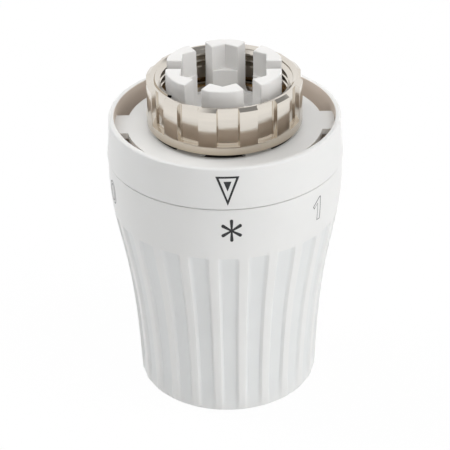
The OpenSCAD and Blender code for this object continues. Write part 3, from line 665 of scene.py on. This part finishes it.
class HEAD_OT_collar(bpy.types.Operator):
    """Fixed collar with its rim, floor and skirt"""
    bl_idname = "head.collar"
    bl_label = "Collar"

    def execute(self, context):
        skirt_r, bore, thin = 23.9, 11.03, 1.4
        groove_r, groove_low, groove_high = skirt_r - 0.65, SKIRT_Z + 1.5, SKIRT_Z + 3.0
        rim_r, rim_round, lip_round = 26.0, 0.45, 0.2
        floor_z, floor_thick = SEAM_Z + 3.3, 1.6
        profile = [(skirt_r - thin, SKIRT_Z), (skirt_r, SKIRT_Z), (skirt_r, groove_low)]
        profile += [(groove_r, groove_low), (groove_r, groove_high), (skirt_r, groove_high)]
        profile += [(skirt_r, SEAM_Z)] + [(r, SEAM_Z + z) for r, z in COLLAR_CURVE]
        profile += [(rim_r, RIM_Z - rim_round)]
        profile += arc(rim_r - rim_round, RIM_Z - rim_round, rim_round, 15, 90, 5)
        profile += arc(COLLAR_BORE + lip_round, RIM_Z - lip_round, lip_round, 90, 180, 3)
        profile += [(COLLAR_BORE, RIM_Z - 3), (COLLAR_BORE, floor_z), (bore, floor_z)]
        profile += [(bore, floor_z - floor_thick), (skirt_r - thin, floor_z - floor_thick)]
        profile.append((skirt_r - thin, SKIRT_Z))
        ob = lathe("collar_body", profile, 256)
        close_lathe(ob)
        finish(ob, "base", collar_plastic_wall_shade(), "white_plastic", "base_collar")
        return {"FINISHED"}


class HEAD_OT_cover(bpy.types.Operator):
    """Cover disc with its two tabs and the six tongues under the nut"""
    bl_idname = "head.cover"
    bl_label = "Cover disc"

    def execute(self, context):
        thick, hole, edge, segments = 1.4, NUT_R - 0.85, 22.0, 192
        foot_z = DISC_Z - thick
        ring = [(hole, foot_z), (edge, foot_z), (edge, DISC_Z), (hole, DISC_Z), (hole, foot_z)]
        ob = lathe("cover_plate", ring, segments)
        close_lathe(ob)
        tab_root, tab_tip, tab_half = 21.2, 24.68, 4.3
        tab = box("tab", (tab_root, -tab_half, foot_z), (tab_tip, tab_half, DISC_Z))
        cut(ob, around(tab, 2), "UNION")
        # each tongue runs in from the disc, is thinner inside its root and ends in a raised pad
        tip, root = 13.6, 16.1
        pad_r, outside = tip + 1.85, hole + 0.3
        low_z, pad_z = DISC_Z - 0.64, DISC_Z + 0.8
        section = [(tip, low_z), (root, low_z), (root, foot_z), (outside, foot_z)]
        section += [(outside, DISC_Z), (pad_r, DISC_Z), (pad_r, pad_z), (tip, pad_z), (tip, low_z)]
        reach = 20
        for width, angle in TONGUES:
            ring = lathe("tongues", section, segments)
            close_lathe(ring)
            bar = box("bar", (-reach, -width / 2, foot_z - 1), (reach, width / 2, pad_z + 1),
                      angle + TONGUE_TURN)
            cut(ring, bar, "INTERSECT")
            cut(ob, ring, "UNION")
        soften(ob, 0.1)
        finish(ob, "base", plastic(), "white_plastic", "cover_disc")
        return {"FINISHED"}


class HEAD_OT_nut(bpy.types.Operator):
    """Union nut with grip grooves and a true helical thread"""
    bl_idname = "head.nut"
    bl_label = "Union nut"

    def execute(self, context):
        s = sizes()
        segments, pitch, half_groove = 480, 30.0, 7.51
        ledge = NUT_Z + 2.25
        floor_r = NUT_R - s.groove_depth
        neck_r, lip_r, bore = 13.33, 14.9, 15.2
        sink_z, lip_z = NUT_TOP - 0.5, NUT_Z + 1.85
        outer = [(neck_r, NUT_Z), (NUT_R - 0.35, NUT_Z), (NUT_R - 0.09, NUT_Z + 0.1)]
        outer += [(NUT_R, NUT_Z + 0.35), (NUT_R, ledge - 0.1), (NUT_R, ledge)]
        outer += [(NUT_R, ledge + 2.5), (NUT_R, ledge + 5), (NUT_R, NUT_TOP - 0.6)]
        outer.append((floor_r + 0.02, NUT_TOP))
        inner = [(floor_r - 0.5, NUT_TOP), (bore, sink_z), (bore, NUT_TOP - 3), (bore, lip_z + 0.3)]
        inner += [(lip_r, lip_z), (neck_r, lip_z), (neck_r, NUT_Z)]
        profile = outer + inner
        ob = lathe("nut_body", profile, segments)
        angles = column_angles(ob, segments)
        columns = [c for c, a in enumerate(angles) if pitch_place(a, pitch) < half_groove]
        carve(ob, profile[:len(outer)], segments, columns, (ledge - 0.01, NUT_TOP + 1),
              lambda r, z, c: min(r, floor_r))
        close_lathe(ob, 25)
        soften(ob, 0.07, limit=30, angle=25)
        turn(ob, NUT_TURN)
        tooth = self.thread(sink_z - 3 * THREAD_PITCH + 0.35)
        join(ob, [tooth])
        finish(ob, "nut", nut_foot_shade(nickel()), "nickel_brass", "union_nut")
        return {"FINISHED"}

    def thread(self, start_z):
        """One tooth swept along its helix, its root sunk into the bore."""
        deselect()
        bpy.ops.mesh.primitive_circle_add(vertices=len(TOOTH), radius=0.001)
        tooth = new_piece("thread")
        for v, (r, z) in zip(tooth.data.vertices, TOOTH):
            v.co = (r * MM, 0, (start_z + z) * MM)
        bpy.ops.object.mode_set(mode="EDIT")
        bpy.ops.mesh.select_all(action="SELECT")
        bpy.ops.mesh.edge_face_add()
        bpy.ops.object.mode_set(mode="OBJECT")
        steps = int(120 * THREAD_TURNS)
        apply_modifier(tooth, "SCREW", axis="Z", angle=math.radians(360 * THREAD_TURNS),
                       screw_offset=THREAD_TURNS * THREAD_PITCH * MM, steps=steps,
                       render_steps=steps, use_normal_calculate=True)
        activate(tooth)
        bpy.ops.object.mode_set(mode="EDIT")
        bpy.ops.mesh.select_all(action="SELECT")
        bpy.ops.mesh.normals_make_consistent(inside=False)
        bpy.ops.object.mode_set(mode="OBJECT")
        smooth(tooth, 30)
        return tooth


class HEAD_OT_claws(bpy.types.Operator):
    """Claw crown with its hexagonal socket, slots and bevelled corners"""
    bl_idname = "head.claws"
    bl_label = "Claw crown"

    def execute(self, context):
        s = sizes()
        count, above = 6, TIP_Z + 1
        slot_z, hex_z, floor_z = NUT_Z + 0.35, TIP_Z - 6.0, FLANGE_Z + 3.85
        spigot_z, hub_z = SEAM_Z + 0.1, low("claw_adapter")
        guide_r, hub_r, socket_r, crown_r = 3.08, 4.68, 9.3, 13.25
        spigot_in, spigot_out, flange_r, flange_top = 8.6, 11.0, 15.6, FLANGE_Z + 1.5
        profile = [(guide_r, hub_z), (hub_r, hub_z), (hub_r, FLANGE_Z), (spigot_in, FLANGE_Z)]
        profile += [(spigot_in, spigot_z), (spigot_out, spigot_z), (spigot_out, FLANGE_Z)]
        profile += [(flange_r, FLANGE_Z), (flange_r, flange_top), (crown_r, flange_top)]
        profile += [(crown_r, TIP_Z), (socket_r, TIP_Z), (socket_r, floor_z), (guide_r, floor_z)]
        profile.append((guide_r, hub_z))
        ob = lathe("claw_crown", profile, 96)
        close_lathe(ob)
        # flats outside, a hexagonal socket inside, and slots with a round foot between the claws
        flat_at, flat_half = 12.72, 4.5
        side = box("side", (flat_at, -flat_half, slot_z), (16, flat_half, above))
        cut(ob, around(side, count))
        corner_r = socket_r / math.cos(math.radians(30))
        cut(ob, rod("socket", corner_r, hex_z, above, count))
        slot_half = 2.0
        round_foot = rod("slot_foot", slot_half, 0, 9, 32)
        lay_along_x(round_foot, (10.5, 0, slot_z + slot_half))
        cut(ob, around(round_foot, count))
        slot = box("slot", (6.0, -slot_half, slot_z + slot_half), (15.0, slot_half, above))
        cut(ob, around(slot, count))
        foot, outer_r = slot_z + 1.9, 12.2

        def upper(a, b):
            outside = max(math.hypot(a.x, a.y), math.hypot(b.x, b.y)) > outer_r
            return outside and min(a.z, b.z) > foot or min(a.z, b.z) > TIP_Z - 0.01

        round_edges(ob, s.edge_round, upper, 28, 3)
        smooth(ob, 30)
        apply_modifier(ob, "WEIGHTED_NORMAL", keep_sharp=True, weight=50)
        turn(ob, CLAW_TURN)
        finish(ob, "base", claw_plastic(), "claw_plastic", "claw_adapter")
        return {"FINISHED"}


class HEAD_OT_cap(bpy.types.Operator):
    """Slotted end cap inside the handwheel's foot"""
    bl_idname = "head.cap"
    bl_label = "End cap"

    def execute(self, context):
        z0, z1, lip_z = low("end_cap"), low("end_cap") + 1.47, high("end_cap")
        hole, edge, chamfer = 0.6, 19.4, 0.25
        lip_out, lip_in = 18.87, 17.97
        profile = [(hole, z0), (edge - chamfer, z0), (edge, z0 + chamfer), (edge, z1)]
        profile += [(lip_out, z1), (lip_out, lip_z), (lip_in, lip_z), (lip_in, z1)]
        profile += [(hole, z1), (hole, z0)]
        ob = lathe("cap_plate", profile, 160)
        close_lathe(ob)
        cut(ob, rod("plug", 2 * hole, z0, z1, 32), "UNION")
        vent_in, vent_out, vent_half, vents = 7.0, 16.77, 0.9, 16
        slot = box("vent", (vent_in, -vent_half, z0 - 1), (vent_out, vent_half, z1 + 1))
        cut(ob, around(slot, vents))
        soften(ob, 0.12)
        finish(ob, "wheel", plastic(), "white_plastic", "end_cap")
        return {"FINISHED"}


def lay_on(ob, target, gap):
    """Presses a mark, drawn in front of the head, onto a shell, a small gap off its face."""
    apply_modifier(ob, "SHRINKWRAP", target=target, wrap_method="PROJECT", use_project_y=True,
                   use_positive_direction=True, use_negative_direction=False, offset=gap * MM)


def wrap_mark(ob, target, angle, body, mat):
    """Lays a flat mark onto a shell and turns it to its angle from the front."""
    lay_on(ob, target, 0.012)
    apply_modifier(ob, "SOLIDIFY", thickness=sizes().mark_height * MM, offset=0.0)
    turn(ob, angle)
    smooth(ob, 40)
    finish(ob, body, mat, "white_plastic")


def mark_outline(points, z, fill):
    """A polygon in the plane of the marks, from a circle whose points are moved."""
    deselect()
    bpy.ops.mesh.primitive_circle_add(vertices=len(points), radius=0.001, fill_type=fill)
    ob = bpy.context.active_object
    for v, (px, pz) in zip(ob.data.vertices, points):
        v.co = (px * MM, MARK_Y, (z + pz) * MM)
    return ob


def flat_shape(points, z):
    """A filled polygon in the plane of the marks."""
    return mark_outline(points, z, "NGON")


class HEAD_OT_marks(bpy.types.Operator):
    """Pointer on the collar, and the frost mark and numbers on the handwheel; the numbers' outlines
    are painted shade
    """
    bl_idname = "head.marks"
    bl_label = "Marks"

    def execute(self, context):
        dark = print_and_shade_ink("dark_print", colours().print_dark)
        digit_shade = print_and_shade_ink("painted_digit_shade", colours().digit_edge_shade)
        wheel, collar = bpy.data.objects["handwheel_shell"], bpy.data.objects["collar_body"]
        # pointer: a closed triangle outline with a small filled one inside
        bars = []
        for i in range(3):
            j = (i + 1) % 3
            bar = (POINTER_OUTER[i], POINTER_OUTER[j], POINTER_INNER[j], POINTER_INNER[i])
            bars.append(flat_shape(bar, POINTER_Z))
        bars.append(flat_shape(POINTER_SMALL, POINTER_Z))
        wrap_mark(self.one_mesh(bars, "pointer_mark"), collar, 0, "base", dark)
        # frost mark: six arms, narrow at the middle and round at the end
        arms = [flat_shape(self.star_arm(90 + 60 * i), STAR_Z) for i in range(6)]
        wrap_mark(self.one_mesh(arms, "frost_mark"), wheel, STAR_TURN, "wheel", dark)
        # painted shade: each number is a grey outline that stands for the shaded edges of a moulded
        # digit
        for digit, angle in NUMBERS:
            own = digit == "1"
            outline = self.flagged_one() if own else self.typed(digit)
            outline.data.bevel_depth = (ONE_LINE if own else NUMBER_LINE) * MM
            outline.data.bevel_resolution = 1
            bpy.ops.object.convert(target="MESH")
            ob = new_piece("number_" + digit)
            self.divide(ob, 0.6)
            lay_on(ob, wheel, 0.02)
            turn(ob, angle)
            finish(ob, "wheel", digit_shade, "white_plastic")
        return {"FINISHED"}

    def star_arm(self, angle):
        """Corners of one arm of the frost mark, which points at an angle."""
        a = math.radians(angle)
        points = [(ARM_LENGTH + x, z) for x, z in arc(0, 0, ARM_END, -100, 100, 12)]
        points += [(-0.05, 0.2), (-0.05, -0.2)]
        return [(STAR_BREADTH * (x * math.cos(a) - z * math.sin(a)),
                 x * math.sin(a) + z * math.cos(a)) for x, z in points]

    def one_mesh(self, shapes, name):
        """Joins flat shapes, faces them alike and divides them, to follow the shell."""
        ob = join(shapes[0], shapes[1:])
        ob.name = ob.data.name = name
        bpy.ops.object.mode_set(mode="EDIT")
        bpy.ops.mesh.select_all(action="SELECT")
        bpy.ops.mesh.normals_make_consistent(inside=False)
        bpy.ops.mesh.quads_convert_to_tris()
        for _ in range(2):
            bpy.ops.mesh.subdivide(number_cuts=1)
        bpy.ops.object.mode_set(mode="OBJECT")
        return ob

    def typed(self, digit):
        """A digit of the type face, as an outline curve."""
        deselect()
        bpy.ops.object.text_add(location=(0, MARK_Y, NUMBER_Z * MM),
                                rotation=(math.radians(90), 0, 0))
        text = bpy.context.active_object
        text.data.body = digit
        text.data.size = NUMBER_SIZE * MM
        text.data.align_x = "CENTER"
        text.data.fill_mode = "NONE"
        text.data.resolution_u = 6
        return text

    def flagged_one(self):
        """The one has a long slanted flag, which the type face lacks."""
        one = mark_outline(ONE, ONE_Z, "NOTHING")
        bpy.ops.object.convert(target="CURVE")
        return one

    def divide(self, ob, longest):
        """Cuts the long edges of a mark, so that it can follow the shell."""
        activate(ob)
        bpy.ops.object.mode_set(mode="EDIT")
        for _ in range(4):
            bm = bmesh.from_edit_mesh(ob.data)
            for e in bm.edges:
                e.select_set(e.calc_length() > longest * MM)
            bmesh.update_edit_mesh(ob.data)
            bpy.ops.mesh.subdivide(number_cuts=1)
        bpy.ops.object.mode_set(mode="OBJECT")


class HEAD_OT_inner(bpy.types.Operator):
    """Materials of the carried-over inner parts"""
    bl_idname = "head.inner"
    bl_label = "Inner parts"

    def execute(self, context):
        # dark rubber for the neck seal, partly its own colour and partly painted shade, standing
        # for the deep shade under the nut
        seal_rubber_and_shade = material("dark_rubber_and_shade", (0.022, 0.018, 0.015), 0.7, bump=0.2, tint=0.1,
                          specular=0.3)
        bronze = material("bronze_sheet", (0.52, 0.33, 0.15), 0.3, metallic=1.0, tint=0.07,
                          bump=0.1)
        can = material("drawn_can", (0.6, 0.6, 0.6), 0.28, metallic=1.0, tint=0.04, bump=0.1,
                       stretch=(1, 1, 0.2))
        copper = material("copper_tube", (0.6, 0.3, 0.17), 0.35, metallic=1.0, tint=0.08,
                          bump=0.1)
        dark = material("hard_dark_plastic", (0.05, 0.05, 0.055), 0.4, tint=0.08, bump=0.1)
        moulded, bright = inner_plastic(), steel()
        looks = {
            "drive_sleeve": moulded, "guide_sleeve": moulded, "limit_pins": moulded,
            "sensor_carrier": moulded, "snap_ring": bright, "adapter_clip": bright,
            "seat_clip": bright, "spring_seat": bright, "overtravel_spring": bright,
            "return_spring": bright, "rod_foot": bright, "push_rod": bright,
            "neck_seal": seal_rubber_and_shade, "slip_washer": bronze, "bellows": bronze,
            "bellows_plate": bronze, "sensor_can": can, "sensor_lid": can,
            "charge_stub": copper, "rod_tip": dark,
        }
        for node, mat in looks.items():
            ob = NODES[node]
            ob.data.materials.clear()
            ob.data.materials.append(mat)
            smooth(ob, 35)
        return {"FINISHED"}


# ---------------------------------------------------------------- stage

def area_light(name, azimuth, elevation, power):
    """A soft square light, placed by its angles: azimuth from the front, positive to the right."""
    data = bpy.data.lights.new(name, "AREA")
    data.shape = "SQUARE"
    data.size = LIGHT_SIZE
    data.energy = power
    ob = bpy.data.objects.new(name, data)
    bpy.context.collection.objects.link(ob)
    a, e = math.radians(azimuth), math.radians(elevation)
    away = Vector((math.sin(a) * math.cos(e), -math.cos(a) * math.cos(e), math.sin(e)))
    ob.location = Vector(LIGHT_AIM) + away * LIGHT_DISTANCE
    ob.rotation_euler = away.to_track_quat("Z", "Y").to_euler()
    ob.visible_glossy = False
    return ob


def seen_rays(n, l):
    """One for rays from the camera, from gloss and through glass, and zero for the rest."""
    path = n.new("ShaderNodeLightPath")
    gloss, glass = n.new("ShaderNodeMath"), n.new("ShaderNodeMath")
    gloss.operation = glass.operation = "MAXIMUM"
    l.new(path.outputs["Is Camera Ray"], gloss.inputs[0])
    l.new(path.outputs["Is Glossy Ray"], gloss.inputs[1])
    l.new(gloss.outputs[0], glass.inputs[0])
    l.new(path.outputs["Is Transmission Ray"], glass.inputs[1])
    return glass.outputs[0]


def blend_shaders(n, l, factor, first, second):
    """Mixes two shaders' sockets by a factor's socket and gives the result's socket."""
    blend = n.new("ShaderNodeMixShader")
    l.new(factor, blend.inputs[0])
    l.new(first, blend.inputs[1])
    l.new(second, blend.inputs[2])
    return blend.outputs[0]


# Side and distance of the soft lights and the point that they face, in metres
LIGHT_SIZE, LIGHT_DISTANCE, LIGHT_AIM = 0.55, 1.0, (0, 0, 0.04)
# Name, azimuth, elevation and power in watts of each soft light
LIGHTS = (
    ("right_low", 60, 8, 3.1), ("right_high", 60, 62, 2.9), ("right", 86, 35, 1.6),
    ("front", 0, 29, 2.7), ("top", 0, 88, 1.6), ("left_top", -90, 62, 1.9),
    ("left_back", -120, 35, 4.0), ("left_low", -150, 8, 1.3),
    ("back_low", 180, 8, 2.5), ("back_right", 150, 8, 3.5),
)
# Radius of the floor, its drop below the head's foot and the share of white that it shows
FLOOR_R, FLOOR_DROP, FLOOR_GLOW = 1.2, 0.0002, 0.96
# Dim patch of the ceiling: its direction, and the brightness at its middle
DIM_WAY, DIM_SHARE = (0.35, 0.1, 0.93), 0.3
# Camera: lens and film width in millimetres, place in metres and turn in degrees
LENS, FILM_WIDTH = 127.1152, 36.0
CAMERA_AT = (-0.004412, -0.315982, 0.232137)
CAMERA_TURN = (58.4612, 0.8157, -1.2411)


class HEAD_OT_stage(bpy.types.Operator):
    """Floor, surroundings, lights and camera"""
    bl_idname = "head.stage"
    bl_label = "Stage"

    def execute(self, context):
        scene = context.scene
        deselect()
        bpy.ops.mesh.primitive_circle_add(vertices=96, radius=FLOOR_R, fill_type="NGON",
                                          location=(0, 0, -FLOOR_DROP))
        floor = bpy.context.active_object
        floor.name = "floor"
        m = bpy.data.materials.new("pale_floor")
        m.use_nodes = True
        n, l = m.node_tree.nodes, m.node_tree.links
        shader = n["Principled BSDF"]
        shader.inputs["Base Color"].default_value = (0.9, 0.9, 0.9, 1)
        shader.inputs["Roughness"].default_value = 0.8
        glow, fade = n.new("ShaderNodeEmission"), n.new("ShaderNodeMath")
        glow.inputs["Strength"].default_value = 1.0
        fade.operation = "MULTIPLY"
        fade.inputs[1].default_value = FLOOR_GLOW
        l.new(seen_rays(n, l), fade.inputs[0])
        look = blend_shaders(n, l, fade.outputs[0], shader.outputs[0], glow.outputs[0])
        l.new(look, n["Material Output"].inputs[0])
        floor.data.materials.append(m)

        world = bpy.data.worlds.new("pale_room")
        scene.world = world
        world.use_nodes = True
        n, l = world.node_tree.nodes, world.node_tree.links
        room, backdrop = n["Background"], n.new("ShaderNodeBackground")
        room.inputs["Color"].default_value = (0.97, 0.98, 1.0, 1)
        room.inputs["Strength"].default_value = 0.02
        backdrop.inputs["Color"].default_value = (1, 1, 1, 1)
        # white walls under a ceiling that is dim above the front right
        way, split = n.new("ShaderNodeTexCoord"), n.new("ShaderNodeVectorMath")
        split.operation = "DOT_PRODUCT"
        split.inputs[1].default_value = DIM_WAY
        l.new(way.outputs["Generated"], split.inputs[0])
        ceiling = ramp_node(n, l, split.outputs["Value"], 0.79, 0.88, 1.0, DIM_SHARE)
        l.new(ceiling, backdrop.inputs["Strength"])
        look = blend_shaders(n, l, seen_rays(n, l), room.outputs[0], backdrop.outputs[0])
        l.new(look, n["World Output"].inputs[0])

        for light in LIGHTS:
            area_light(*light)

        data = bpy.data.cameras.new("camera")
        data.sensor_width = FILM_WIDTH
        data.lens = LENS
        camera = bpy.data.objects.new("camera", data)
        context.collection.objects.link(camera)
        camera.location = CAMERA_AT
        camera.rotation_euler = Euler([math.radians(a) for a in CAMERA_TURN])
        scene.camera = camera
        scene.view_settings.view_transform = "Standard"
        return {"FINISHED"}


class HEAD_PT_panel(bpy.types.Panel):
    """Lists the pieces of the head"""
    bl_label = "Radiator Head"
    bl_idname = "HEAD_PT_panel"
    bl_space_type = "VIEW_3D"
    bl_region_type = "UI"
    bl_category = "Radiator Head"

    def draw(self, context):
        column = self.layout.column()
        for group in (context.scene.head_sizes, context.scene.head_colours):
            for key in group.__annotations__:
                column.prop(group, key)
        for op in OPERATORS:
            column.operator(op.bl_idname)


OPERATORS = (
    HEAD_OT_handwheel, HEAD_OT_collar, HEAD_OT_cover, HEAD_OT_nut, HEAD_OT_claws, HEAD_OT_cap,
    HEAD_OT_marks, HEAD_OT_inner, HEAD_OT_stage,
)
CLASSES = (HeadSizes, HeadColours) + OPERATORS + (HEAD_PT_panel,)


def register():
    for c in CLASSES:
        bpy.utils.register_class(c)
    bpy.types.Scene.head_sizes = bpy.props.PointerProperty(type=HeadSizes)
    bpy.types.Scene.head_colours = bpy.props.PointerProperty(type=HeadColours)


def unregister():
    del bpy.types.Scene.head_colours
    del bpy.types.Scene.head_sizes
    for c in reversed(CLASSES):
        bpy.utils.unregister_class(c)


def main():
    """Builds every piece, then the stage."""
    register()
    bpy.ops.head.handwheel()
    bpy.ops.head.collar()
    bpy.ops.head.cover()
    bpy.ops.head.nut()
    bpy.ops.head.claws()
    bpy.ops.head.cap()
    bpy.ops.head.marks()
    bpy.ops.head.inner()
    bpy.ops.head.stage()
    deselect()


if __name__ == "__main__":
    main()
